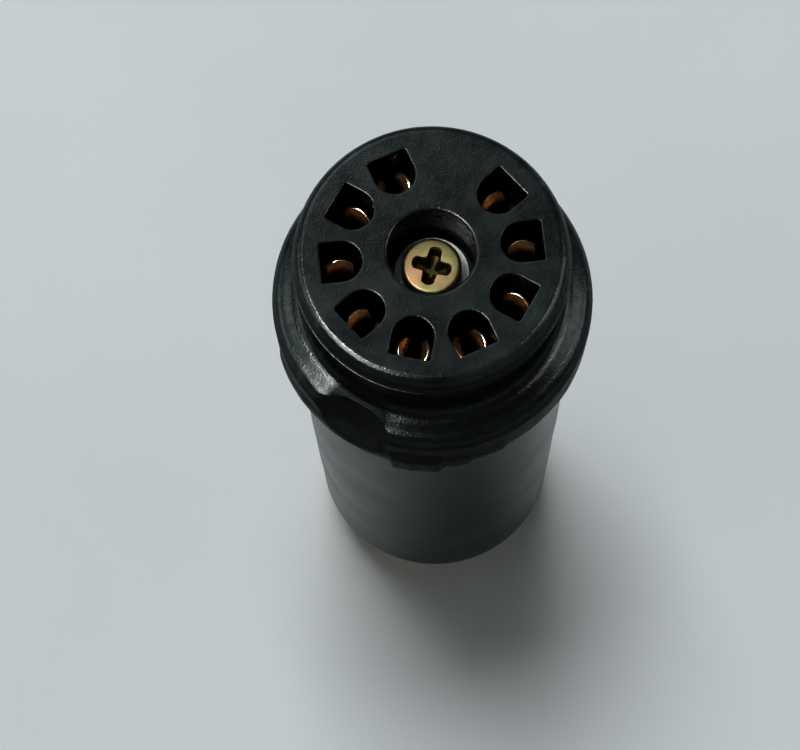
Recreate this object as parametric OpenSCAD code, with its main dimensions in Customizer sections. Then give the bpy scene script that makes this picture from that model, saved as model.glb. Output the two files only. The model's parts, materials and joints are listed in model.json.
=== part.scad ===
// Nine-pin noval socket extender: a moulded socket head with nine sprung
// contacts, a plain sleeve, and a plug base with nine pins, wired straight through.
// The missing tenth pin position faces +Y. Pin 1 is the next one counter-clockwise
// seen from the socket face. The pin tips stand on z = 0.

/* [Overall] */
// Distance from the socket face to the underside of the plug base
body_height = 56; // [50:1:80]
// Length of each plug pin below the plug base
pin_projection = 7; // [5:0.5:9]

/* [Pin pattern] */
// Diameter of the pin circle
pin_circle_d = 11.89; // [11.8:0.01:12]
// Diameter of each plug pin
plug_pin_d = 1.016; // [0.95:0.002:1.03]

/* [Socket head] */
// Widest diameter of the face disc
face_d = 18.4; // [18:0.1:19]
// Diameter of the neck under the face disc
neck_d = 17.5; // [17.2:0.1:17.8]
// Outer diameter of the flange
flange_d = 22.3; // [21.8:0.1:24]
// Distance from the face to the underside of the flange
flange_drop = 12.6; // [12:0.1:13]
// Width of each contact cavity
cavity_w = 2.78; // [2.7:0.02:2.9]
// Diameter of the centre recess
recess_d = 5.8; // [5.4:0.1:6]
// Depth of the centre recess down to the washer
recess_depth = 4.9; // [4.5:0.1:5.2]

/* [Finger notch] */
// Radius of the scooped notch in the flange, at the ledge
notch_r = 7; // [6.5:0.1:7.5]
// Depth of the notch at the ledge
notch_depth = 1.4; // [1.2:0.1:1.5]
// Direction of the notch, counter-clockwise from +X
notch_angle = -109; // [-130:1:-90]

/* [Sleeve] */
// Outer diameter of the sleeve
sleeve_d = 20.3; // [20:0.1:21]
// Wall thickness of the sleeve
sleeve_wall = 0.9; // [0.8:0.05:0.95]

/* [Contacts] */
// Distance from the face to the lips of the contact leaves
leaf_drop = 2.6; // [2.2:0.1:3]
// Half of the gap at the throat, where the leaves grip a pin
throat_half_gap = 0.4; // [0.35:0.01:0.45]
// Thickness of the spring strip
strip_t = 0.25; // [0.2:0.01:0.27]

/* [Screws] */
// Diameter of the screw heads
screw_head_d = 4; // [3.8:0.1:4.4]
// Thread diameter of the screws
screw_d = 2; // [1.9:0.05:2.1]

/* [Wires] */
// Outer diameter of the wire insulation
wire_d = 1.5; // [1.4:0.1:1.7]

/* [Hidden] */
$fn = 96;
PINS = [1:9];
SIDES = ["a", "b"];

// The ten positions of the pattern stand 36 degrees apart
pin_step = 360 / 10;
pin_circle_r = pin_circle_d / 2;

// How far a cutting solid reaches past what it cuts
cut = 1;

// Levels of the socket head
face_z = pin_projection + body_height;
flange_z = face_z - flange_drop;
rim_z = face_z - 1.6;
neck_top_z = rim_z - 0.6;
cove_z = face_z - 5.8;
ledge_z = face_z - 8;
shoulder_z = face_z - 9.6;
floor_z = flange_z - 0.5;
spigot_z = floor_z - 3;

// Radii of the socket head
face_flat_r = face_d / 2 - 0.7;
cove_r = 0.9;
ledge_r = flange_d / 2 - 0.95;
spigot_r = sleeve_d / 2 - sleeve_wall - 0.05;
retainer_r = spigot_r - 1;
rim_edge = 0.2;
cove_foot = 0.4;
sleeve_play = 0.05;
retainer_play = 0.05;
edge_n = 4;

// The notch runs out at the flange's lower edge
notch_lean = 0.3;

// The lumps that the mould leaves under the flange: start, span and drop
LUMPS = [[-95, 20, 1.2], [-75, 12, 0.6]];
lump_out = 0.3;
lump_edge = 0.3;
lump_top = 0.8;
lump_slope = 0.8;

// The retainer plate closes the cavities from below
retainer_t = 1.6;
retainer_z = floor_z - retainer_t;
slot_play = 0.05;

// Contacts: foot, posts, leaves and tail, in radial and tangential measures
leaf_in = -0.55;
leaf_out = 1.2;
foot_t = 0.3;
post_gap = 0.6;
post_h = 1.8;
hinge_z = floor_z + foot_t + post_h;
leaf_gap_z = 0.05;
throat_z = face_z - 5;
lip_z = face_z - leaf_drop;
lip_flare = 0.35;
leaf_n = 12;
tail_w = 1.2;
tail_t = 0.3;
tail_len = 5.9;
tail_eye_d = 0.7;
tail_eye_rise = 1.2;
conductor_d = 0.6;

// Screws and the standoff between them
head_h = 1.5;
washer_t = 0.5;
washer_d = 5;
seat_z = face_z - recess_depth;
clearance_d = screw_d + 0.2;
upper_screw_len = 18.6;
lower_screw_len = 8.6;
cross_w = 0.75;
cross_l = 2.3;
cross_depth = 0.9;
head_edge = 0.5;
thread_edge = 0.2;
standoff_af = 4.5;
thread_play = 0.02;

// Levels of the plug base
base_z = pin_projection;
base_h = 6;
base_top_z = base_z + base_h;
counterbore_d = screw_head_d + 0.6;
counterbore_h = 2;
base_edge = 0.6;
sleeve_lift = 0.3;

// Plug pins: shoulder sunk in the base, shank, collar and solder cup
shoulder_d = 1.8;
shoulder_h = 0.35;
shoulder_drop = 0.05;
shoulder_play = 0.05;
shank_d = 1.44;
shank_play = 0.02;
collar_d = 1.9;
collar_h = 0.4;
cup_d = 1.5;
cup_h = 3.2;
cup_bore_d = 0.7;
cup_floor = 0.5;
tip_r = 0.4;

// How far the insulation stops short of its two ends, and the bare conductor's reach
strip_gap = 0.6;
conductor_in_cup = 1.2;
conductor_at_tail = 2.4;

// Places a child at one pin position, its own +X pointing away from the centre
module at_pin(n) {
    rotate([0, 0, 90 + pin_step * n])
        translate([pin_circle_r, 0, 0])
            children();
}

// Points of a quarter ellipse from angle a0 to a1
function arc(cx, cz, rx, rz, a0, a1) = [
    for (i = [0:edge_n])
        let (a = a0 + (a1 - a0) * i / edge_n)
            [cx + rx * cos(a), cz + rz * sin(a)]
];

// Half of the gap between the leaves at one level
function leaf_gap(z) = z < throat_z
    ? post_gap + (throat_half_gap - post_gap) * (z - hinge_z) / (throat_z - hinge_z)
    : throat_half_gap + lip_flare * pow((z - throat_z) / (lip_z - throat_z), 2);

// Outline of the head moulding from its axis outwards
function head_profile() = concat(
    [[0, face_z]],
    arc(face_flat_r, rim_z, face_d / 2 - face_flat_r, face_z - rim_z, 90, 0),
    [[face_d / 2, rim_z - rim_edge], [neck_d / 2, neck_top_z]],
    arc(neck_d / 2 + cove_r, cove_z, cove_r, cove_z - ledge_z - cove_foot, 180, 270),
    arc(ledge_r, shoulder_z, flange_d / 2 - ledge_r, ledge_z - shoulder_z, 90, 0),
    [[flange_d / 2, flange_z], [spigot_r, flange_z], [spigot_r, spigot_z],
     [retainer_r + retainer_play, spigot_z], [retainer_r + retainer_play, floor_z],
     [0, floor_z]]
);

// One cavity: round towards the centre, square towards the rim
module cavity() {
    translate([0, 0, floor_z - cut])
        linear_extrude(face_z - floor_z + 2 * cut) {
            circle(d = cavity_w);
            translate([0, -cavity_w / 2])
                square([cavity_w / 2, cavity_w]);
        }
}

// A leaning scoop, deepest at the ledge
module notch() {
    height = cove_z - flange_z;
    foot_r = notch_r - notch_lean * (ledge_z - flange_z);
    rotate([0, 0, notch_angle])
        translate([flange_d / 2 - notch_depth + notch_r, 0, flange_z])
            cylinder(r1 = foot_r, r2 = foot_r + notch_lean * height, h = height);
}

module lump(from, span, drop) {
    inner_r = sleeve_d / 2 + sleeve_play;
    outer_r = flange_d / 2 + lump_out;
    foot_z = flange_z - drop;
    top_z = flange_z + lump_top;
    rotate_extrude(angle = span, start = from)
        polygon([[inner_r, foot_z], [outer_r - lump_edge, foot_z],
                 [outer_r, foot_z + lump_edge], [outer_r, top_z],
                 [flange_d / 2 - lump_edge, top_z + lump_slope],
                 [inner_r, top_z + lump_slope]]);
}

module socket_body() {
    color([0.06, 0.07, 0.07])
        difference() {
            union() {
                difference() {
                    rotate_extrude()
                        polygon(head_profile());
                    notch();
                }
                for (l = LUMPS)
                    lump(l[0], l[1], l[2]);
            }
            for (n = PINS)
                at_pin(n) cavity();
            translate([0, 0, seat_z])
                cylinder(d = recess_d, h = recess_depth + cut);
            translate([0, 0, floor_z - cut])
                cylinder(d = clearance_d, h = seat_z - floor_z + 2 * cut);
        }
}

module contact_retainer() {
    color([0.35, 0.2, 0.11])
        difference() {
            translate([0, 0, retainer_z])
                cylinder(r = retainer_r, h = retainer_t);
            translate([0, 0, retainer_z - cut])
                cylinder(d = clearance_d, h = retainer_t + 2 * cut);
            for (n = PINS)
                at_pin(n)
                    translate([-tail_w / 2 - slot_play, -conductor_d / 2 - tail_t - slot_play,
                               retainer_z - cut])
                        cube([tail_w + 2 * slot_play, tail_t + 2 * slot_play,
                              retainer_t + 2 * cut]);
        }
}

// The fixed part of a contact: foot, two posts and the solder tail
module contact(n) {
    color([0.85, 0.58, 0.24])
        at_pin(n) {
            translate([leaf_in, -post_gap - strip_t, floor_z])
                cube([leaf_out - leaf_in, 2 * (post_gap + strip_t), foot_t]);
            for (side = [-1, 1])
                translate([leaf_in, side * (post_gap + strip_t / 2) - strip_t / 2, floor_z])
                    cube([leaf_out - leaf_in, strip_t, foot_t + post_h]);
            difference() {
                translate([-tail_w / 2, -conductor_d / 2 - tail_t, floor_z - tail_len])
                    cube([tail_w, tail_t, tail_len + foot_t]);
                translate([0, 0, floor_z - tail_len + tail_eye_rise])
                    rotate([90, 0, 0])
                        cylinder(d = tail_eye_d, h = 2 * cut, center = true);
            }
        }
}

// One sprung leaf; side is 1 or -1 along the pin circle
module contact_leaf(n, side) {
    root_z = hinge_z + leaf_gap_z;
    levels = [for (i = [0:leaf_n]) root_z + (lip_z - root_z) * i / leaf_n];
    inner = [for (z = levels) [leaf_gap(z), z]];
    outer = [for (i = [leaf_n:-1:0]) [leaf_gap(levels[i]) + strip_t, levels[i]]];
    color([0.9, 0.62, 0.26])
        at_pin(n)
            translate([leaf_in, 0, 0])
                rotate([90, 0, 90])
                    linear_extrude(leaf_out - leaf_in)
                        polygon([for (p = concat(inner, outer)) [side * p[0], p[1]]]);
}

// A cross-head screw standing on its thread end, its head's underside at z = 0
module cross_screw(length) {
    difference() {
        rotate_extrude()
            polygon(concat(
                [[0, -length], [screw_d / 2 - thread_edge, -length],
                 [screw_d / 2, thread_edge - length], [screw_d / 2, 0], [screw_head_d / 2, 0]],
                arc(screw_head_d / 2 - head_edge, head_h - head_edge, head_edge, head_edge, 0, 90),
                [[0, head_h]]
            ));
        translate([0, 0, head_h - cross_depth])
            for (a = [0, 90])
                rotate([0, 0, a])
                    translate([-cross_l / 2, -cross_w / 2, 0])
                        cube([cross_l, cross_w, cross_depth + cut]);
    }
}

module centre_screw() {
    color([0.78, 0.68, 0.38])
        translate([0, 0, seat_z + washer_t])
            cross_screw(upper_screw_len);
}

module screw_washer() {
    color([0.7, 0.7, 0.68])
        translate([0, 0, seat_z])
            difference() {
                cylinder(d = washer_d, h = washer_t);
                translate([0, 0, -cut])
                    cylinder(d = clearance_d, h = washer_t + 2 * cut);
            }
}

module standoff() {
    upper_end_z = seat_z + washer_t - upper_screw_len;
    lower_end_z = base_z + counterbore_h + lower_screw_len;
    color([0.75, 0.6, 0.3])
        difference() {
            translate([0, 0, base_top_z])
                cylinder(d = standoff_af / cos(30), h = retainer_z - base_top_z, $fn = 6);
            translate([0, 0, upper_end_z - cut])
                cylinder(d = screw_d + 2 * thread_play, h = retainer_z - upper_end_z + 2 * cut);
            translate([0, 0, base_top_z - cut])
                cylinder(d = screw_d + 2 * thread_play, h = lower_end_z - base_top_z + 2 * cut);
        }
}

module sleeve() {
    color([0.2, 0.24, 0.24])
        translate([0, 0, base_z + sleeve_lift])
            difference() {
                cylinder(d = sleeve_d, h = flange_z - base_z - sleeve_lift);
                translate([0, 0, -cut])
                    cylinder(d = sleeve_d - 2 * sleeve_wall, h = flange_z - base_z + 2 * cut);
            }
}

module plug_base() {
    color([0.09, 0.09, 0.09])
        difference() {
            rotate_extrude()
                polygon([[0, base_z], [spigot_r - base_edge, base_z],
                         [spigot_r, base_z + base_edge],
                         [spigot_r, base_top_z], [0, base_top_z]]);
            translate([0, 0, base_z - cut])
                cylinder(d = clearance_d, h = base_h + 2 * cut);
            translate([0, 0, base_z - cut])
                cylinder(d = counterbore_d, h = counterbore_h + cut);
            for (n = PINS)
                at_pin(n)
                    translate([0, 0, base_z - cut]) {
                        cylinder(d = shank_d + 2 * shank_play, h = base_h + 2 * cut);
                        cylinder(d = shoulder_d + 2 * shoulder_play,
                                 h = cut + shoulder_drop + shoulder_h);
                    }
        }
}

module plug_screw() {
    color([0.78, 0.68, 0.38])
        translate([0, 0, base_z + counterbore_h])
            mirror([0, 0, 1])
                cross_screw(lower_screw_len);
}

module wire(n) {
    insulation_from = base_top_z + collar_h + cup_h + strip_gap;
    insulation_to = floor_z - tail_len - strip_gap;
    conductor_from = base_top_z + collar_h + conductor_in_cup;
    conductor_to = floor_z - tail_len + conductor_at_tail;
    color([0.75, 0.12, 0.1])
        at_pin(n) {
            translate([0, 0, insulation_from])
                cylinder(d = wire_d, h = insulation_to - insulation_from);
            translate([0, 0, conductor_from])
                cylinder(d = conductor_d, h = conductor_to - conductor_from);
        }
}

module plug_pin(n) {
    pin_r = plug_pin_d / 2;
    shoulder_z = base_z + shoulder_drop;
    collar_top_z = base_top_z + collar_h;
    cup_top_z = collar_top_z + cup_h;
    color([0.88, 0.66, 0.3])
        at_pin(n)
            rotate_extrude()
                polygon(concat(
                    [[0, 0]],
                    arc(pin_r - tip_r, tip_r, tip_r, tip_r, -90, 0),
                    [[pin_r, shoulder_z], [shoulder_d / 2, shoulder_z],
                     [shoulder_d / 2, shoulder_z + shoulder_h], [shank_d / 2, shoulder_z + shoulder_h],
                     [shank_d / 2, base_top_z],
                     [collar_d / 2, base_top_z], [collar_d / 2, collar_top_z],
                     [cup_d / 2, collar_top_z], [cup_d / 2, cup_top_z],
                     [cup_bore_d / 2, cup_top_z], [cup_bore_d / 2, collar_top_z + cup_floor],
                     [0, collar_top_z + cup_floor]]
                ));
}

socket_body();
contact_retainer();
centre_screw();
screw_washer();
standoff();
sleeve();
plug_base();
plug_screw();
for (n = PINS) {
    contact(n);
    contact_leaf(n, 1);
    contact_leaf(n, -1);
    wire(n);
    plug_pin(n);
}
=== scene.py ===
"""The finished look of the noval socket extender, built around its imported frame."""

import json
import math

import bmesh
import bpy
from mathutils import Matrix, Vector, noise


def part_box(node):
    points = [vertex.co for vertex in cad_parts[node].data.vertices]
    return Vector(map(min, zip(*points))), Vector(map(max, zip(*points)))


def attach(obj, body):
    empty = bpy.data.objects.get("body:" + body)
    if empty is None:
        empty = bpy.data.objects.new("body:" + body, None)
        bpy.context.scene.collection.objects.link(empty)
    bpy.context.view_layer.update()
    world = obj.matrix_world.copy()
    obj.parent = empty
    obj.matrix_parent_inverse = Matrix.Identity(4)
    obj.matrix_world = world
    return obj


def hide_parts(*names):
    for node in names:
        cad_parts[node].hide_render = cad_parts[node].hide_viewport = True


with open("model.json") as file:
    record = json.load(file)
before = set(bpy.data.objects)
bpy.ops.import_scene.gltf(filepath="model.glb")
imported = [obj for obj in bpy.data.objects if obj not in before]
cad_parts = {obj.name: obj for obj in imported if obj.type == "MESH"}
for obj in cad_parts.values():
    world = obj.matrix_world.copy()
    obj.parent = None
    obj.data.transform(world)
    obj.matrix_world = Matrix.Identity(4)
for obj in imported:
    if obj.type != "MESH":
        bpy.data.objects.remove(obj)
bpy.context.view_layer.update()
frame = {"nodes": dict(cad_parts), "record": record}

MM = 0.001
PINS = range(1, 10)
SIDES = {"a": 1, "b": -1}
HOUSING = "housing"


# ---------------------------------------------------------------- places from the frame

def level(node, end):
    """Lowest (0) or highest (1) level of a CAD node."""
    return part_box(node)[end].z


def half_width(node):
    """Half of a CAD node's size along X."""
    return (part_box(node)[1].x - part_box(node)[0].x) / 2


MOUNTS = {m["name"]: Vector(m["pos_m"]) for m in frame["record"]["mounts"]}
FACE_Z = level("socket_body", 1)
SPIGOT_Z = level("socket_body", 0)
BASE_Z = level("plug_base", 0)
BASE_TOP_Z = level("plug_base", 1)
FLOOR_Z = level("contact_retainer", 1)
FLANGE_Z = level("sleeve", 1)
SLEEVE_Z = level("sleeve", 0)
SLEEVE_R = half_width("sleeve")
SPIGOT_R = half_width("plug_base")
RETAINER_R = half_width("contact_retainer")
SEAT_Z = level("screw_washer", 0)
HEAD_TOP_Z = level("centre_screw", 1)
SCREW_R = half_width("centre_screw")
PIN_CIRCLE = Vector(MOUNTS["plug_pin_1"][:2]).length


# ---------------------------------------------------------------- sizes of the head

CAVITY_HALF = 1.39 * MM
CAVITY_CORNER = 0.16 * MM
CAVITY_EDGE = 0.08 * MM
RECESS_R = 2.9 * MM
RECESS_EDGE = 0.18 * MM
SCREW_HOLE_R = 1.1 * MM
FACE_FLAT_R = 8.45 * MM
FACE_R = 9.2 * MM
NECK_R = 8.75 * MM
LEDGE_R = 10.2 * MM
FLANGE_R = 11.15 * MM
RIM_Z = FACE_Z - 1.6 * MM
LEDGE_Z = FACE_Z - 8.0 * MM
SHOULDER_Z = FACE_Z - 9.6 * MM
NOTCH_ANGLE = math.radians(-109)
NOTCH_R = 7.0 * MM
NOTCH_DEPTH = 1.4 * MM
NOTCH_CENTRE_R = FLANGE_R - NOTCH_DEPTH + NOTCH_R
NOTCH_LEAN = 0.3
# Stretches of the flange's lower edge that swell: from, to (degrees), share of the swelling
DRIPS = [(-152, -88, 0.4), (-95, -73, 1.0), (-76, -63, 0.55), (-66, -50, 0.25)]
DRIP_SWELL = 0.36 * MM
DRIP_DROP = 1.3 * MM


# ---------------------------------------------------------------- sizes of the contacts

ROOT_Z = level("contact_leaf_1a", 0)
LIP_Z = level("contact_leaf_1a", 1)
THROAT_Z = FACE_Z - 5 * MM
ROOT_GAP = 0.6 * MM
THROAT_GAP = 0.4 * MM
LIP_FLARE = 0.35 * MM
STRIP_T = 0.22 * MM


def pin_angle(n):
    """Direction of pin position n; the missing tenth position faces +Y."""
    return math.radians(90 + 36 * n)


def pin_frame(n):
    """Matrix whose +X points away from the centre, at pin position n."""
    return Matrix.Rotation(pin_angle(n), 4, "Z") @ Matrix.Translation((PIN_CIRCLE, 0, 0))


# ---------------------------------------------------------------- mesh helpers

def finish_mesh(bm, name, body, replaces, material, sharp=35, weighted=True):
    """Closes a bmesh into an object that rides on a body and stands for CAD nodes."""
    bmesh.ops.remove_doubles(bm, verts=bm.verts, dist=0.0005 * MM)
    bmesh.ops.recalc_face_normals(bm, faces=bm.faces)
    mesh = bpy.data.meshes.new(name)
    bm.to_mesh(mesh)
    bm.free()
    for face in mesh.polygons:
        face.use_smooth = True
    mesh.set_sharp_from_angle(angle=math.radians(sharp))
    piece = bpy.data.objects.new(name, mesh)
    bpy.context.scene.collection.objects.link(piece)
    if weighted:
        even = piece.modifiers.new("even_shading", "WEIGHTED_NORMAL")
        even.keep_sharp = True
    mesh.materials.append(material)
    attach(piece, body)
    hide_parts(*replaces)
    return piece


def loft(bm, rings):
    """Walls through a list of equal rings; returns the first and the last loop of edges."""
    walls = [[bm.verts.new(point) for point in ring] for ring in rings]
    for lower, upper in zip(walls, walls[1:]):
        for i in range(len(lower)):
            bm.faces.new((lower[i - 1], lower[i], upper[i], upper[i - 1]))
    return [[bm.edges.get((ring[i - 1], ring[i])) for i in range(len(ring))]
            for ring in (walls[0], walls[-1])]


def fill(bm, *loops):
    """A flat face over an outer loop, with the other loops left open in it."""
    edges = [edge for one in loops for edge in one]
    bmesh.ops.triangle_fill(bm, use_beauty=True, use_dissolve=False, edges=edges)


def circle(radius, z, count, centre=(0, 0)):
    """Points evenly round a level circle."""
    return [
        Vector((centre[0] + radius * math.cos(a), centre[1] + radius * math.sin(a), z))
        for a in (2 * math.pi * i / count for i in range(count))
    ]


def spin_profile(bm, profile, steps):
    """Turns a chain of (radius, level) points into a surface round the Z axis."""
    verts = [bm.verts.new((r, 0, z)) for r, z in profile]
    edges = [bm.edges.new(pair) for pair in zip(verts, verts[1:])]
    bmesh.ops.spin(bm, geom=verts + edges, axis=(0, 0, 1), cent=(0, 0, 0), dvec=(0, 0, 0),
                   angle=2 * math.pi, steps=steps, use_merge=True, use_normal_flip=False,
                   use_duplicate=False)


def rim(bm, z):
    """The open edges that lie at one level."""
    return [
        e for e in bm.edges
        if e.is_boundary and all(abs(v.co.z - z) < 0.001 * MM for v in e.verts)
    ]


def bow(cx, cz, rx, rz, start, end, count):
    """Points of an elliptical arc, in a radius and level plane; angles in degrees."""
    turns = [math.radians(start + (end - start) * i / count) for i in range(count + 1)]
    return [(cx + rx * math.cos(a), cz + rz * math.sin(a)) for a in turns]


def evenly(points, gap):
    """The same chain with extra points, so that no step is longer than gap."""
    out = [points[0]]
    for (r0, z0), (r1, z1) in zip(points, points[1:]):
        count = max(1, math.ceil(math.hypot(r1 - r0, z1 - z0) / gap))
        out += [(r0 + (r1 - r0) * i / count, z0 + (z1 - z0) * i / count)
                for i in range(1, count + 1)]
    return out


def soft_min(a, b, blend):
    """The smaller of two lengths, rounded where they cross."""
    h = max(blend - abs(a - b), 0) / blend
    return min(a, b) - h * h * blend / 4


def smooth_step(low, high, x):
    """0 at low, 1 at high, eased at both ends."""
    t = min(max((x - low) / (high - low), 0), 1)
    return t * t * (3 - 2 * t)


# ---------------------------------------------------------------- surface effects, shared

def add(tree, kind, inputs=None, **settings):
    """A shader node with its settings, and its inputs set or linked."""
    made = tree.nodes.new(kind)
    for key, value in settings.items():
        setattr(made, key, value)
    for key, value in (inputs or {}).items():
        if isinstance(value, bpy.types.NodeSocket):
            tree.links.new(value, made.inputs[key])
        else:
            made.inputs[key].default_value = value
    return made


def effect(name, inputs, outputs):
    """An empty shader node group with named sockets; returns it with its two ends."""
    group = bpy.data.node_groups.new(name, "ShaderNodeTree")
    for label, value in inputs.items():
        socket = group.interface.new_socket(label, in_out="INPUT", socket_type="NodeSocketFloat")
        socket.default_value = value
    for label in outputs:
        group.interface.new_socket(label, in_out="OUTPUT", socket_type="NodeSocketFloat")
    return group, group.nodes.new("NodeGroupInput"), group.nodes.new("NodeGroupOutput")


def mottle_effect():
    """Soft blotches between two values."""
    group, given, made = effect("mottle", {"Scale": 1000, "Detail": 4, "Low": 0, "High": 1},
                                ["Value"])
    place = add(group, "ShaderNodeTexCoord")
    blotch = add(group, "ShaderNodeTexNoise", {
        "Vector": place.outputs["Object"], "Scale": given.outputs["Scale"],
        "Detail": given.outputs["Detail"], "Roughness": 0.6})
    spread = add(group, "ShaderNodeMapRange", {
        "Value": blotch.outputs["Fac"], "From Min": 0.32, "From Max": 0.68,
        "To Min": given.outputs["Low"], "To Max": given.outputs["High"]})
    group.links.new(spread.outputs["Result"], made.inputs["Value"])
    return group


def streak_effect():
    """Fine lines along Z, as drawing or extruding leaves them."""
    group, given, made = effect("streaks", {"Across": 4000, "Along": 60}, ["Value"])
    place = add(group, "ShaderNodeTexCoord")
    pull = add(group, "ShaderNodeCombineXYZ", {
        "X": given.outputs["Across"], "Y": given.outputs["Across"],
        "Z": given.outputs["Along"]})
    stretched = add(group, "ShaderNodeVectorMath", {
        0: place.outputs["Object"], 1: pull.outputs["Vector"]}, operation="MULTIPLY")
    line = add(group, "ShaderNodeTexNoise", {
        "Vector": stretched.outputs["Vector"], "Scale": 1, "Detail": 3})
    group.links.new(line.outputs["Fac"], made.inputs["Value"])
    return group


def wear_effect():
    """Raised edges, broken up by blotches; nothing on what lies flat."""
    group, given, made = effect("edge_wear", {"Amount": 1, "Scale": 1500}, ["Mask"])
    shape = add(group, "ShaderNodeNewGeometry")
    edge = add(group, "ShaderNodeMapRange", {
        "Value": shape.outputs["Pointiness"], "From Min": 0.56, "From Max": 0.64})
    place = add(group, "ShaderNodeTexCoord")
    blotch = add(group, "ShaderNodeTexNoise", {
        "Vector": place.outputs["Object"], "Scale": given.outputs["Scale"], "Detail": 5})
    broken = add(group, "ShaderNodeMapRange", {
        "Value": blotch.outputs["Fac"], "From Min": 0.38, "From Max": 0.62})
    both = add(group, "ShaderNodeMath", {
        0: edge.outputs["Result"], 1: broken.outputs["Result"]}, operation="MULTIPLY")
    split = add(group, "ShaderNodeSeparateXYZ", {"Vector": shape.outputs["Normal"]})
    tilted = add(group, "ShaderNodeMapRange", {
        "Value": split.outputs["Z"], "From Min": 0.99, "From Max": 0.96,
        "To Max": given.outputs["Amount"]})
    scaled = add(group, "ShaderNodeMath", {
        0: both.outputs["Value"], 1: tilted.outputs["Result"]}, operation="MULTIPLY",
        use_clamp=True)
    group.links.new(scaled.outputs["Value"], made.inputs["Mask"])
    return group


def dust_effect():
    """Thin dust on what faces up, with a few specks."""
    group, given, made = effect("dust", {"Film": 0.1, "Specks": 0.5}, ["Mask"])
    shape = add(group, "ShaderNodeNewGeometry")
    split = add(group, "ShaderNodeSeparateXYZ", {"Vector": shape.outputs["Normal"]})
    upward = add(group, "ShaderNodeMapRange", {
        "Value": split.outputs["Z"], "From Min": 0.05, "From Max": 0.6})
    place = add(group, "ShaderNodeTexCoord")
    cloud = add(group, "ShaderNodeTexNoise", {
        "Vector": place.outputs["Object"], "Scale": 260, "Detail": 6, "Roughness": 0.7})
    film = add(group, "ShaderNodeMapRange", {
        "Value": cloud.outputs["Fac"], "From Min": 0.4, "From Max": 0.75,
        "To Max": given.outputs["Film"]})
    grit = add(group, "ShaderNodeTexNoise", {
        "Vector": place.outputs["Object"], "Scale": 5200, "Detail": 2})
    speck = add(group, "ShaderNodeMapRange", {
        "Value": grit.outputs["Fac"], "From Min": 0.72, "From Max": 0.8,
        "To Max": given.outputs["Specks"]})
    both = add(group, "ShaderNodeMath", {
        0: film.outputs["Result"], 1: speck.outputs["Result"]}, operation="ADD")
    lying = add(group, "ShaderNodeMath", {
        0: both.outputs["Value"], 1: upward.outputs["Result"]}, operation="MULTIPLY",
        use_clamp=True)
    group.links.new(lying.outputs["Value"], made.inputs["Mask"])
    return group


def grain_effect():
    """Height of a fine skin over broad ripples."""
    group, given, made = effect("grain", {"Fine": 9000, "Broad": 500, "Share": 0.5},
                                ["Height"])
    place = add(group, "ShaderNodeTexCoord")
    skin = add(group, "ShaderNodeTexNoise", {
        "Vector": place.outputs["Object"], "Scale": given.outputs["Fine"], "Detail": 3})
    ripple = add(group, "ShaderNodeTexNoise", {
        "Vector": place.outputs["Object"], "Scale": given.outputs["Broad"], "Detail": 2})
    both = add(group, "ShaderNodeMix", {
        "Factor": given.outputs["Share"], "A": skin.outputs["Fac"],
        "B": ripple.outputs["Fac"]})
    group.links.new(both.outputs["Result"], made.inputs["Height"])
    return group


def polish_effect():
    """What faces up, unevenly: the skin that hands and valves rub."""
    group, given, made = effect("polish", {"Amount": 1}, ["Mask"])
    shape = add(group, "ShaderNodeNewGeometry")
    split = add(group, "ShaderNodeSeparateXYZ", {"Vector": shape.outputs["Normal"]})
    upward = add(group, "ShaderNodeMapRange", {
        "Value": split.outputs["Z"], "From Min": 0.25, "From Max": 0.5,
        "To Max": given.outputs["Amount"]})
    place = add(group, "ShaderNodeTexCoord")
    rub = add(group, "ShaderNodeTexNoise", {
        "Vector": place.outputs["Object"], "Scale": 1900, "Detail": 7, "Roughness": 0.75})
    patchy = add(group, "ShaderNodeMapRange", {
        "Value": rub.outputs["Fac"], "From Min": 0.35, "From Max": 0.65, "To Min": 0.45})
    both = add(group, "ShaderNodeMath", {
        0: upward.outputs["Result"], 1: patchy.outputs["Result"]}, operation="MULTIPLY")
    group.links.new(both.outputs["Value"], made.inputs["Mask"])
    return group


def rise_effect():
    """0 below one height, 1 above another."""
    group, given, made = effect("rise", {"Low": 0, "High": 1}, ["Mask"])
    place = add(group, "ShaderNodeTexCoord")
    split = add(group, "ShaderNodeSeparateXYZ", {"Vector": place.outputs["Object"]})
    up = add(group, "ShaderNodeMapRange", {
        "Value": split.outputs["Z"], "From Min": given.outputs["Low"],
        "From Max": given.outputs["High"]})
    group.links.new(up.outputs["Result"], made.inputs["Mask"])
    return group


def away_effect():
    """0 near one spot, 1 further off."""
    group, given, made = effect("away", {"X": 0, "Y": 0, "Z": 0, "Near": 0, "Far": 1}, ["Mask"])
    place = add(group, "ShaderNodeTexCoord")
    spot = add(group, "ShaderNodeCombineXYZ", {k: given.outputs[k] for k in "XYZ"})
    gap = add(group, "ShaderNodeVectorMath", {
        0: place.outputs["Object"], 1: spot.outputs["Vector"]}, operation="DISTANCE")
    far = add(group, "ShaderNodeMapRange", {
        "Value": gap.outputs["Value"], "From Min": given.outputs["Near"],
        "From Max": given.outputs["Far"]})
    group.links.new(far.outputs["Result"], made.inputs["Mask"])
    return group


EFFECTS = {
    "away": away_effect(),
    "rise": rise_effect(),
    "polish": polish_effect(),
    "mottle": mottle_effect(),
    "streaks": streak_effect(),
    "wear": wear_effect(),
    "dust": dust_effect(),
    "grain": grain_effect(),
}


# ---------------------------------------------------------------- materials

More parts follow.
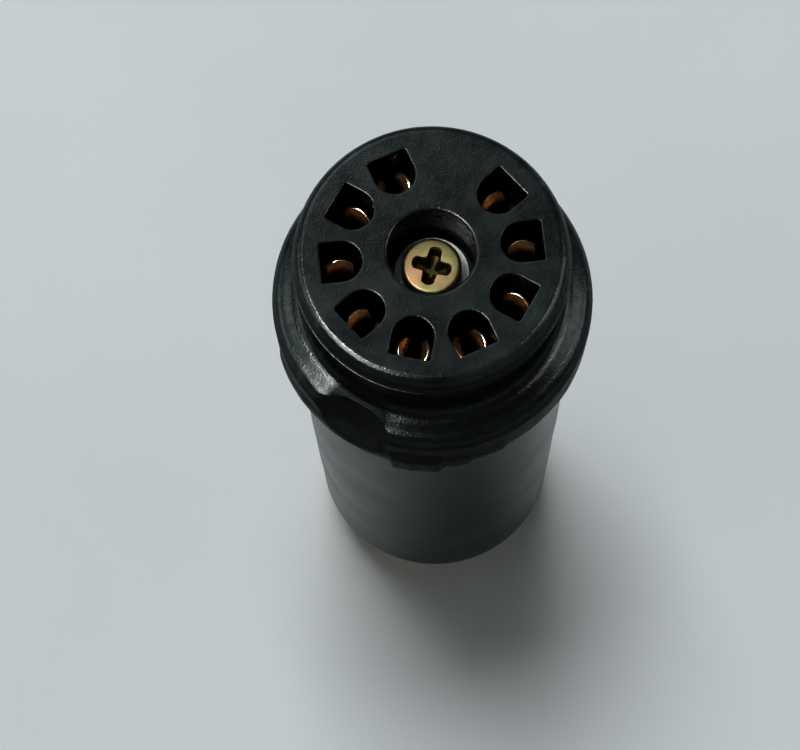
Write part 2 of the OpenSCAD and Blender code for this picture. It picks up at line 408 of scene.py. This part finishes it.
class Finish:
    """One material under construction: a Principled BSDF and what feeds it."""

    def __init__(self, name, **sockets):
        self.material = bpy.data.materials.new(name)
        self.material.use_nodes = True
        self.tree = self.material.node_tree
        self.tree.nodes.clear()
        self.bsdf = self.tree.nodes.new("ShaderNodeBsdfPrincipled")
        out = self.tree.nodes.new("ShaderNodeOutputMaterial")
        self.tree.links.new(self.bsdf.outputs["BSDF"], out.inputs["Surface"])
        for key, value in sockets.items():
            self.bsdf.inputs[key.replace("_", " ")].default_value = value

    def use(self, effect_name, output, **inputs):
        made = self.tree.nodes.new("ShaderNodeGroup")
        made.node_tree = EFFECTS[effect_name]
        for key, value in inputs.items():
            made.inputs[key].default_value = value
        return made.outputs[output]

    def mix(self, factor, a, b):
        """A colour between a and b; each is a colour or a socket."""
        made = self.tree.nodes.new("ShaderNodeMix")
        made.data_type = "RGBA"
        for index, value in ((0, factor), (6, a), (7, b)):
            if isinstance(value, bpy.types.NodeSocket):
                self.tree.links.new(value, made.inputs[index])
            else:
                made.inputs[index].default_value = value if index == 0 else (*value, 1)
        return made.outputs[2]

    def blend(self, factor, a, b):
        """A value between a and b; each is a number or a socket."""
        return add(self.tree, "ShaderNodeMix", {"Factor": factor, "A": a, "B": b}).outputs[0]

    def feed(self, **links):
        for key, socket in links.items():
            self.tree.links.new(socket, self.bsdf.inputs[key.replace("_", " ")])

    def bump(self, height, strength, distance, coat=False):
        made = add(self.tree, "ShaderNodeBump", {
            "Height": height, "Strength": strength, "Distance": distance})
        for name in ["Normal", "Coat Normal"] if coat else ["Normal"]:
            self.tree.links.new(made.outputs["Normal"], self.bsdf.inputs[name])


def black_moulding():
    """Black phenolic: dull walls, a polished skin on what faces up, dust over it."""
    f = Finish("black_moulding", IOR=1.06, Coat_IOR=1.5, Coat_Roughness=0.2,
               Coat_Tint=(0.85, 1, 1, 1))
    cloudy = f.use("mottle", "Value", Scale=700, Detail=6)
    base = f.mix(cloudy, (0.0035, 0.0046, 0.0047), (0.0075, 0.0096, 0.0098))
    worn = f.mix(f.use("wear", "Mask", Amount=0.35, Scale=2400), base, (0.085, 0.098, 0.096))
    dust = f.use("dust", "Mask", Film=0.13, Specks=0.3)
    f.feed(Base_Color=f.mix(dust, worn, (0.19, 0.265, 0.26)))
    gloss = f.use("mottle", "Value", Scale=1300, Detail=8, Low=0.24, High=0.36)
    f.feed(Roughness=f.blend(dust, gloss, 0.8))
    spot = LEDGE_R * Vector((math.cos(NOTCH_ANGLE), math.sin(NOTCH_ANGLE)))
    untouched = f.use("away", "Mask", X=spot.x, Y=spot.y, Z=LEDGE_Z, Near=2.1 * MM,
                      Far=2.7 * MM)
    f.feed(Coat_Weight=f.blend(untouched, 0.02, f.use("polish", "Mask", Amount=0.55)))
    f.bump(f.use("grain", "Height", Fine=7000, Broad=420, Share=0.15), 0.5, 0.05 * MM, True)
    return f.material


def sleeve_plastic():
    """Satin grey-green tube with a faint drawn grain and handling scuffs."""
    f = Finish("sleeve_plastic", IOR=1.16, Specular_Tint=(0.7, 1, 1, 1))
    cloudy = f.use("mottle", "Value", Scale=130, Detail=4)
    base = f.mix(cloudy, (0.0025, 0.014, 0.015), (0.004, 0.019, 0.02))
    line = f.use("streaks", "Value", Across=900, Along=25)
    lined = f.mix(line, base, (0.006, 0.018, 0.019))
    scuff = f.use("wear", "Mask", Amount=0.6, Scale=900)
    f.feed(Base_Color=f.mix(scuff, lined, (0.05, 0.065, 0.065)))
    f.feed(Roughness=f.use("mottle", "Value", Scale=200, Detail=5, Low=0.2, High=0.26))
    f.bump(f.use("grain", "Height", Fine=3000, Broad=110, Share=0.9), 0.06, 0.03 * MM)
    return f.material


def plug_moulding():
    """Matt black moulding of the plug base."""
    f = Finish("plug_moulding", IOR=1.5)
    cloudy = f.use("mottle", "Value", Scale=800, Detail=5)
    base = f.mix(cloudy, (0.014, 0.014, 0.015), (0.028, 0.028, 0.029))
    f.feed(Base_Color=f.mix(f.use("wear", "Mask", Amount=0.6), base, (0.1, 0.1, 0.1)))
    f.feed(Roughness=f.use("mottle", "Value", Scale=1500, Low=0.5, High=0.68))
    f.bump(f.use("grain", "Height", Fine=6000, Broad=500, Share=0.4), 0.3, 0.05 * MM)
    return f.material


def metal(name, light, dark, low, high, scale=1600, across=9000, along=300, tarnish=None):
    """Bare or plated metal: two tones in blotches, drawn lines and an optional tarnish."""
    f = Finish(name, Metallic=1.0)
    tone = f.use("mottle", "Value", Scale=scale, Detail=5)
    base = f.mix(tone, dark, light)
    if tarnish:
        spots = f.use("mottle", "Value", Scale=scale / 3, Detail=7, Low=-0.6, High=0.7)
        base = f.mix(spots, base, tarnish)
    f.feed(Base_Color=base)
    f.feed(Roughness=f.use("mottle", "Value", Scale=scale * 2, Detail=6, Low=low, High=high))
    f.bump(f.use("streaks", "Value", Across=across, Along=along), 0.12, 0.01 * MM)
    return f.material


def contact_gold():
    """Gold flash over bronze, with painted shade on the lower leaf, deeper in the cavity, and
    painted highlights on its edges.
    """
    f = Finish("contact_gold", Metallic=0.93)
    band = f.use("streaks", "Value", Across=1500, Along=120)
    base = f.mix(band, (0.5, 0.31, 0.17), (1.0, 0.8, 0.55))
    tone = f.use("mottle", "Value", Scale=600, Detail=3, Low=0, High=0.5)
    toned = f.mix(tone, base, (0.72, 0.48, 0.33))
    # Painted shade: below the lips the leaf is painted dark brown, standing in for the shade
    # deeper in the cavity.
    painted_shade_rise = f.use("rise", "Mask", Low=LIP_Z - 1.3 * MM, High=LIP_Z - 0.3 * MM)
    lower = f.mix(painted_shade_rise, (0.16, 0.085, 0.045), toned)
    # Painted highlight: the leaves' edges and lips are painted near white, standing in for
    # glints on the rims.
    painted_rim_highlight = f.use("wear", "Mask", Amount=1.6, Scale=400)
    f.feed(Base_Color=f.mix(painted_rim_highlight, lower, (1.0, 0.92, 0.78)))
    f.feed(Roughness=f.use("mottle", "Value", Scale=1500, Detail=5, Low=0.14, High=0.27))
    f.bump(band, 0.25, 0.02 * MM)
    return f.material


def zinc_yellow(name, head_top, up):
    """Yellow-passivated zinc: straw, pink and olive patches, with painted shade down in the
    cross.
    """
    f = Finish(name, Metallic=1.0)
    straw = f.mix(f.use("mottle", "Value", Scale=420, Detail=3),
                  (0.11, 0.1, 0.047), (0.165, 0.148, 0.077))
    pink = f.use("mottle", "Value", Scale=300, Detail=2, Low=-0.9, High=0.75)
    plated = f.mix(pink, straw, (0.22, 0.13, 0.085))
    # Painted shade: below the head's top, the cross recess is painted near black.
    top = f.use("rise", "Mask", Low=head_top - up * 0.3 * MM, High=head_top - up * 0.1 * MM)
    outside = f.use("away", "Mask", Z=head_top, Near=1.6 * MM, Far=1.8 * MM)
    f.feed(Base_Color=f.mix(f.blend(outside, top, 1.0), (0.035, 0.03, 0.014), plated))
    f.feed(Roughness=f.use("mottle", "Value", Scale=2600, Detail=6, Low=0.36, High=0.5))
    f.bump(f.use("grain", "Height", Fine=9000, Broad=1500, Share=0.4), 0.25, 0.012 * MM)
    return f.material


def retainer_board():
    """Brown paper laminate with its fibres showing."""
    f = Finish("retainer_board", IOR=1.5)
    fibre = f.use("mottle", "Value", Scale=2200, Detail=8)
    f.feed(Base_Color=f.mix(fibre, (0.16, 0.075, 0.03), (0.27, 0.14, 0.065)))
    f.feed(Roughness=f.use("mottle", "Value", Scale=900, Low=0.5, High=0.66))
    f.bump(f.use("grain", "Height"), 0.2, 0.03 * MM)
    return f.material


def insulation(n, colour):
    """Extruded wire covering in one of the nine wire colours."""
    f = Finish(f"insulation_{n}", IOR=1.5)
    tone = f.use("mottle", "Value", Scale=900, Detail=4)
    f.feed(Base_Color=f.mix(tone, tuple(0.8 * c for c in colour), colour))
    f.feed(Roughness=f.use("mottle", "Value", Scale=1500, Low=0.34, High=0.46))
    f.bump(f.use("streaks", "Value", Across=3000, Along=90), 0.2, 0.02 * MM)
    return f.material


WIRE_COLOURS = [
    (0.12, 0.05, 0.02), (0.55, 0.03, 0.02), (0.75, 0.2, 0.02), (0.8, 0.6, 0.05),
    (0.04, 0.3, 0.07), (0.03, 0.1, 0.45), (0.25, 0.06, 0.4), (0.3, 0.3, 0.3),
    (0.75, 0.75, 0.72),
]

MOULDING = black_moulding()
SLEEVE_PLASTIC = sleeve_plastic()
PLUG_MOULDING = plug_moulding()
BOARD = retainer_board()
ZINC = zinc_yellow("zinc_yellow", HEAD_TOP_Z, 1)
LOWER_ZINC = zinc_yellow("lower_zinc_yellow", level("plug_screw", 0), -1)
CONTACT_GOLD = contact_gold()
PIN_GOLD = metal("pin_gold", (0.98, 0.74, 0.4), (0.92, 0.62, 0.3), 0.16, 0.28)
STEEL = metal("plain_steel", (0.45, 0.46, 0.45), (0.28, 0.29, 0.28), 0.3, 0.45)
BRASS = metal("turned_brass", (0.82, 0.62, 0.3), (0.68, 0.47, 0.2), 0.22, 0.36,
              tarnish=(0.4, 0.25, 0.1))


# ---------------------------------------------------------------- socket head


def cavity_ring(n, grow, z):
    """Outline of one cavity: round towards the centre, square towards the rim."""
    half = CAVITY_HALF + grow
    corner = CAVITY_CORNER + grow
    points = [(half * math.cos(a), half * math.sin(a))
              for a in (math.radians(90 + 180 * i / 24) for i in range(25))]
    for side in (-1, 1):
        start = -90 if side < 0 else 0
        for i in range(6):
            a = math.radians(start + 90 * i / 5)
            points.append((half - corner + corner * math.cos(a),
                           side * (half - corner) + corner * math.sin(a)))
    place = pin_frame(n)
    return [place @ Vector((x, y, z)) for x, y in points]


def mouth(edge, top, ring):
    """Rings of a rounded mouth of one opening; ring(grow, z) gives an outline."""
    turns = [math.radians(90 * i / 3) for i in range(4)]
    return [ring(edge + 0.07 * MM, top)] + [
        ring(edge * (1 - math.sin(a)), top - edge * (1 - math.cos(a))) for a in turns]


def head_profile():
    """The head's outline, from the face round the flange to the retainer's pocket."""
    shape = [(FACE_FLAT_R - 0.1 * MM, FACE_Z)]
    shape += bow(FACE_FLAT_R, RIM_Z, FACE_R - FACE_FLAT_R, FACE_Z - RIM_Z, 90, 0, 8)
    shape += bow(FACE_R, RIM_Z - 0.06 * MM, 0.07 * MM, 0.06 * MM, 80, -80, 6)
    shape += [(FACE_R - 0.03 * MM, RIM_Z - 0.2 * MM), (NECK_R + 0.08 * MM, RIM_Z - 0.52 * MM)]
    shape += [(NECK_R, RIM_Z - 0.7 * MM)]
    shape += bow(NECK_R + 0.9 * MM, FACE_Z - 5.8 * MM, 0.9 * MM, 1.8 * MM, 180, 270, 10)
    shape += bow(LEDGE_R, SHOULDER_Z, FLANGE_R - LEDGE_R, LEDGE_Z - SHOULDER_Z, 84, 0, 10)
    shape += bow(FLANGE_R - 0.25 * MM, FLANGE_Z + 0.25 * MM, 0.25 * MM, 0.25 * MM, 0, -90, 4)
    shape += [(SPIGOT_R, FLANGE_Z), (SPIGOT_R, SPIGOT_Z + 0.3 * MM),
              (SPIGOT_R - 0.3 * MM, SPIGOT_Z), (RETAINER_R + 0.05 * MM, SPIGOT_Z),
              (RETAINER_R + 0.05 * MM, FLOOR_Z)]
    return evenly(shape, 0.2 * MM)


def shape_flange(bm):
    """Scoops the notch, swells the lower edge and roughens the moulding's outer skin."""
    for v in bm.verts:
        radius = v.co.xy.length
        if radius < SPIGOT_R + 0.02 * MM or v.co.z > FACE_Z - 6 * MM:
            continue
        angle = math.atan2(v.co.y, v.co.x)
        turn = (angle - NOTCH_ANGLE + math.pi) % (2 * math.pi) - math.pi
        reach = NOTCH_CENTRE_R * math.sin(turn)
        new = radius
        if abs(reach) < NOTCH_R and abs(turn) < 1:
            wall = NOTCH_CENTRE_R * math.cos(turn) - math.sqrt(NOTCH_R ** 2 - reach ** 2)
            wall += NOTCH_LEAN * (LEDGE_Z - v.co.z)
            new = soft_min(radius, wall, 0.14 * MM)
        lump = max(share * smooth_step(low - 1, low + 3, math.degrees(angle))
                   * smooth_step(high + 1, high - 3, math.degrees(angle))
                   for low, high, share in DRIPS)
        near = smooth_step(FLANGE_Z + 2.2 * MM, FLANGE_Z + 0.6 * MM, v.co.z)
        rough = noise.noise(v.co / (0.9 * MM))
        new += (DRIP_SWELL + 0.08 * MM * rough) * lump * near
        if v.co.z < FLANGE_Z + 0.4 * MM and radius > SLEEVE_R + 0.1 * MM:
            v.co.z -= (DRIP_DROP + 0.15 * MM * rough) * lump
        new += 0.05 * MM * noise.noise(v.co / (1.8 * MM)) * near
        v.co.x *= new / radius
        v.co.y *= new / radius


def socket_head():
    """The moulded head: turned outside, nine cavities and the centre recess."""
    bm = bmesh.new()
    spin_profile(bm, head_profile(), 420)
    bmesh.ops.remove_doubles(bm, verts=bm.verts, dist=0.0005 * MM)
    top, bottom = rim(bm, FACE_Z), rim(bm, FLOOR_Z)
    shape_flange(bm)
    tops, bottoms = [], []
    for n in PINS:
        rings = mouth(CAVITY_EDGE, FACE_Z, lambda grow, z: cavity_ring(n, grow, z))
        first, last = loft(bm, rings + [cavity_ring(n, 0, FLOOR_Z)])
        tops.append(first)
        bottoms.append(last)
    rings = mouth(RECESS_EDGE, FACE_Z, lambda grow, z: circle(RECESS_R + grow, z, 96))
    rings += [circle(RECESS_R, SEAT_Z + 0.15 * MM, 96), circle(RECESS_R - 0.15 * MM, SEAT_Z, 96),
              circle(SCREW_HOLE_R, SEAT_Z, 96), circle(SCREW_HOLE_R, FLOOR_Z, 96)]
    first, last = loft(bm, rings)
    fill(bm, top, first, *tops)
    fill(bm, bottom, last, *bottoms)
    return finish_mesh(bm, "socket_head", HOUSING, ["socket_body"], MOULDING)


# ---------------------------------------------------------------- contacts


def leaf_gap(z):
    """Distance from the pin's axis to the middle of a leaf's inner side."""
    if z < THROAT_Z:
        return ROOT_GAP + (THROAT_GAP - ROOT_GAP) * (z - ROOT_Z) / (THROAT_Z - ROOT_Z)
    return THROAT_GAP + LIP_FLARE * ((z - THROAT_Z) / (LIP_Z - THROAT_Z)) ** 2


def contact_leaf(n, side):
    """One cupped spring leaf with a rounded, rolled lip."""
    bm = bmesh.new()
    bmesh.ops.create_grid(bm, x_segments=16, y_segments=40, size=0.5)
    for v in bm.verts:
        across, up = 2 * v.co.x, v.co.y + 0.5
        z = ROOT_Z + up * (LIP_Z - ROOT_Z - 0.3 * MM * across ** 2 * smooth_step(0.5, 1, up))
        cup = 0.28 * MM * smooth_step(0.1, 0.7, up)
        roll = 0.2 * MM * smooth_step(0.9, 1, up)
        half = (0.72 + 0.2 * smooth_step(0.35, 0.75, up)) * MM
        v.co = Vector((0.14 * MM + across * half, leaf_gap(z) + roll - cup * across ** 2, z))
        v.co.y *= side
    bm.transform(pin_frame(n))
    bmesh.ops.recalc_face_normals(bm, faces=bm.faces)
    tangent = pin_frame(n).to_3x3() @ Vector((0, side, 0))
    if sum((f.normal.dot(tangent) for f in bm.faces), 0.0) < 0:
        bmesh.ops.reverse_faces(bm, faces=bm.faces)
    bmesh.ops.solidify(bm, geom=bm.faces[:], thickness=-STRIP_T)
    name = f"contact_leaf_{n}{'a' if side > 0 else 'b'}"
    piece = finish_mesh(bm, f"spring_leaf_{name[13:]}", f"leaf_{name[13:]}",
                        [name], CONTACT_GOLD, weighted=False)
    soft = piece.modifiers.new("soft_edges", "BEVEL")
    soft.width = 0.05 * MM
    soft.segments = 2
    soft.limit_method = "ANGLE"
    return piece


# ---------------------------------------------------------------- screws

CROSS_TURN = math.radians(-3)
CROSS_HALF = 0.42 * MM
CROSS_REACH = 1.34 * MM
CROSS_DEPTH = 1.3 * MM


def cross_ring(z, half, reach, lift=0):
    """Outline of a cross recess with rounded arms."""
    points = []
    for arm in range(4):
        turn = Matrix.Rotation(CROSS_TURN + arm * math.pi / 2, 4, "Z")
        outline = [(half * 1.12, -half * 1.12), (reach * 0.6, -half)]
        outline += [(reach - half * 0.7 + half * 0.7 * math.cos(a), half * math.sin(a))
                    for a in (math.radians(-90 + 180 * i / 10) for i in range(11))]
        outline += [(reach * 0.6, half)]
        points += [turn @ Vector((x, y, z)) for x, y in outline]
    return points


def cross_screw(name, top_z, under_z, end_z, node, material):
    """A pan-head screw; its head's top is top_z, its shank ends at end_z."""
    up = 1 if top_z > end_z else -1
    edge = 0.28 * MM
    bm = bmesh.new()
    shape = bow(SCREW_R - edge, top_z - up * edge, edge, up * edge, 90, 0, 6)
    shape += [(SCREW_R, under_z + up * 0.12 * MM), (SCREW_R - 0.12 * MM, under_z)]
    shape += [(1.0 * MM, under_z)]
    pitch = 0.4 * MM
    turns = int((abs(end_z - under_z) - 0.6 * MM) / pitch)
    for i in range(turns):
        z = under_z - up * (0.3 * MM + i * pitch)
        shape += [(0.98 * MM, z), (0.8 * MM, z - up * pitch / 2)]
    shape += [(0.7 * MM, end_z), (0.0, end_z)]
    spin_profile(bm, shape, 72)
    bmesh.ops.remove_doubles(bm, verts=bm.verts, dist=0.0005 * MM)
    outer = rim(bm, top_z)
    rings = [cross_ring(top_z, CROSS_HALF + 0.03 * MM, CROSS_REACH + 0.03 * MM),
             cross_ring(top_z - up * 0.04 * MM, CROSS_HALF, CROSS_REACH),
             cross_ring(top_z - up * 0.7 * CROSS_DEPTH, CROSS_HALF * 0.8, CROSS_REACH * 0.78),
             cross_ring(top_z - up * CROSS_DEPTH, CROSS_HALF * 0.3, CROSS_REACH * 0.3)]
    first, last = loft(bm, rings)
    fill(bm, outer, first)
    fill(bm, last)
    return finish_mesh(bm, name, HOUSING, [node], material, sharp=28)


# ---------------------------------------------------------------- sleeve and plug

def sleeve_tube():
    """The plain tube, its lower end drawn in a little and its wall not quite true."""
    wall = 0.88 * MM
    inner = SLEEVE_R - wall
    outer_side = bow(SLEEVE_R - 0.4 * MM, SLEEVE_Z + 0.4 * MM, 0.4 * MM, 0.4 * MM, -90, 0, 5)
    shape = [(inner, SLEEVE_Z + 0.1 * MM)] + outer_side
    shape += [(SLEEVE_R, FLANGE_Z), (inner, FLANGE_Z), (inner, SLEEVE_Z + 0.1 * MM)]
    bm = bmesh.new()
    spin_profile(bm, evenly(shape, 0.9 * MM), 240)
    for v in bm.verts:
        radius = v.co.xy.length
        if radius > inner + 0.3 * MM:
            swell = 0.05 * MM * noise.noise(v.co / (7 * MM)) - 0.03 * MM
            v.co.x *= 1 + swell / radius
            v.co.y *= 1 + swell / radius
    return finish_mesh(bm, "sleeve_tube", HOUSING, ["sleeve"], SLEEVE_PLASTIC)


def plug_disc():
    """The plug's moulded disc with softened holes and a shallow ring groove."""
    bm = bmesh.new()
    shape = [(7.9 * MM, BASE_Z)]
    shape += bow(SPIGOT_R - 0.7 * MM, BASE_Z + 0.7 * MM, 0.7 * MM, 0.7 * MM, -90, 0, 6)
    shape += [(SPIGOT_R, BASE_TOP_Z)]
    spin_profile(bm, shape, 192)
    bmesh.ops.remove_doubles(bm, verts=bm.verts, dist=0.0005 * MM)
    lower, upper = rim(bm, BASE_Z), rim(bm, BASE_TOP_Z)
    lows, highs = [], []
    for n in PINS:
        centre = pin_frame(n).translation
        wall = [(1.02, 0), (0.95, 0.08), (0.95, 0.42), (0.74, 0.42), (0.74, 6)]
        rings = [circle(r * MM, BASE_Z + h * MM, 40, centre) for r, h in wall]
        first, last = loft(bm, rings)
        lows.append(first)
        highs.append(last)
    wall = [(2.42, 0), (2.3, 0.12), (2.3, 2), (1.1, 2), (1.1, 6)]
    first, last = loft(bm, [circle(r * MM, BASE_Z + h * MM, 64) for r, h in wall])
    fill(bm, lower, first, *lows)
    fill(bm, upper, last, *highs)
    return finish_mesh(bm, "plug_disc", HOUSING, ["plug_base"], PLUG_MOULDING)


def plug_pin(n):
    """A turned pin with a round tip, a sunk shoulder, a collar and a solder cup."""
    bm = bmesh.new()
    shape = [(r * MM, z * MM) for r, z in bow(0.108, 0.4, 0.4, 0.4, -90, 0, 6)]
    shape = [(0.0, 0.0)] + shape
    top = BASE_TOP_Z
    shape += [(0.508 * MM, BASE_Z + 0.05 * MM), (0.86 * MM, BASE_Z + 0.05 * MM),
              (0.9 * MM, BASE_Z + 0.09 * MM), (0.9 * MM, BASE_Z + 0.4 * MM),
              (0.72 * MM, BASE_Z + 0.4 * MM), (0.72 * MM, top), (0.95 * MM, top),
              (0.95 * MM, top + 0.4 * MM), (0.75 * MM, top + 0.4 * MM),
              (0.75 * MM, top + 3.6 * MM), (0.35 * MM, top + 3.6 * MM),
              (0.35 * MM, top + 0.9 * MM), (0.0, top + 0.9 * MM)]
    spin_profile(bm, shape, 40)
    bm.transform(pin_frame(n))
    return finish_mesh(bm, f"turned_pin_{n}", HOUSING, [f"plug_pin_{n}"], PIN_GOLD,
                       sharp=40)


# ---------------------------------------------------------------- CAD nodes that stay

def dress(node, material):
    """Gives a CAD node its finish."""
    mesh = frame["nodes"][node].data
    mesh.materials.clear()
    mesh.materials.append(material)


socket_head()
for n in PINS:
    for side in SIDES.values():
        contact_leaf(n, side)
    plug_pin(n)
    dress(f"contact_{n}", CONTACT_GOLD)
    dress(f"wire_{n}", insulation(n, WIRE_COLOURS[n - 1]))
cross_screw("centre_screw_head", HEAD_TOP_Z, SEAT_Z + 0.5 * MM, level("centre_screw", 0),
            "centre_screw", ZINC)
cross_screw("plug_screw_head", level("plug_screw", 0), BASE_Z + 2 * MM,
            level("plug_screw", 1), "plug_screw", LOWER_ZINC)
sleeve_tube()
plug_disc()
dress("contact_retainer", BOARD)
dress("screw_washer", STEEL)
dress("standoff", BRASS)


# ---------------------------------------------------------------- floor, light and camera

def floor():
    """A plain pale sheet under the pins."""
    bm = bmesh.new()
    bmesh.ops.create_grid(bm, x_segments=1, y_segments=1, size=0.6)
    mesh = bpy.data.meshes.new("floor")
    bm.to_mesh(mesh)
    bm.free()
    sheet = bpy.data.objects.new("floor", mesh)
    bpy.context.scene.collection.objects.link(sheet)
    f = Finish("pale_sheet", IOR=1.2)
    f.feed(Base_Color=f.mix(f.use("mottle", "Value", Scale=12, Detail=3),
                            (0.56, 0.585, 0.59), (0.6, 0.625, 0.63)))
    f.feed(Roughness=f.use("mottle", "Value", Scale=90, Low=0.75, High=0.9))
    mesh.materials.append(f.material)


def soft_light(name, direction, elevation, distance, size, power, colour, gloss):
    """A square area light that looks at the socket; it lights either gloss or tone."""
    lamp = bpy.data.lights.new(name, "AREA")
    lamp.size = size
    lamp.energy = power
    lamp.color = colour
    piece = bpy.data.objects.new(name, lamp)
    bpy.context.scene.collection.objects.link(piece)
    a, e = math.radians(direction), math.radians(elevation)
    back = Vector((math.cos(a) * math.cos(e), math.sin(a) * math.cos(e), math.sin(e)))
    piece.location = Vector((0, 0, FACE_Z / 2)) + back * distance
    piece.rotation_mode = "QUATERNION"
    piece.rotation_quaternion = back.to_track_quat("Z", "Y")
    piece.visible_glossy = gloss
    piece.visible_diffuse = not gloss


def surroundings(strength, colour):
    """Even light from all round."""
    world = bpy.data.worlds.new("room")
    world.use_nodes = True
    world.node_tree.nodes["Background"].inputs["Color"].default_value = (*colour, 1)
    world.node_tree.nodes["Background"].inputs["Strength"].default_value = strength
    bpy.context.scene.world = world


def camera():
    """Looks down steeply at the face, from the side away from the pattern's gap."""
    heading = math.radians(105.9)
    elevation = math.radians(74.0)
    roll = math.radians(-4.17)
    distance = 136.7 * MM
    aim_right, aim_up = -2.05 * MM, -8.07 * MM
    ahead = Vector((math.cos(heading) * math.cos(elevation),
                    math.sin(heading) * math.cos(elevation), -math.sin(elevation)))
    level_right = ahead.cross(Vector((0, 0, 1))).normalized()
    level_up = level_right.cross(ahead)
    right = level_right * math.cos(roll) + level_up * math.sin(roll)
    up = -level_right * math.sin(roll) + level_up * math.cos(roll)
    aim = Vector((0, 0, FACE_Z)) + right * aim_right + up * aim_up
    lens = bpy.data.cameras.new("camera")
    lens.sensor_width = 36
    lens.lens = 94.3
    lens.clip_start = 0.01
    lens.clip_end = 10
    piece = bpy.data.objects.new("camera", lens)
    bpy.context.scene.collection.objects.link(piece)
    turn = Matrix((right, up, -ahead)).transposed().to_4x4()
    piece.matrix_world = Matrix.Translation(aim - ahead * distance) @ turn
    bpy.context.scene.camera = piece


floor()
soft_light("window", 123, 74.6, 0.7, 0.23, 4.75, (0.985, 0.995, 1.0), False)
soft_light("ceiling", 132, 50, 1.0, 0.6, 5.5, (0.9, 0.98, 1.0), True)
soft_light("right_wall", 16, 26, 1.0, 0.6, 6.0, (0.84, 0.99, 1.0), True)
soft_light("left_wall", 185, 20, 1.0, 0.6, 5.6, (0.84, 1.0, 0.99), True)
soft_light("side_panel", 229, 44, 0.5, 0.26, 6.0, (0.95, 1.0, 1.0), True)
soft_light("glint", 200, 68, 0.6, 0.14, 7.0, (1.0, 0.98, 0.95), True)
soft_light("spark", 12, 55, 0.6, 0.09, 1.2, (1.0, 0.97, 0.9), True)
surroundings(0.22, (0.93, 0.98, 1.0))
camera()
bpy.context.scene.view_settings.view_transform = "Standard"
bpy.context.scene.view_settings.gamma = 0.77
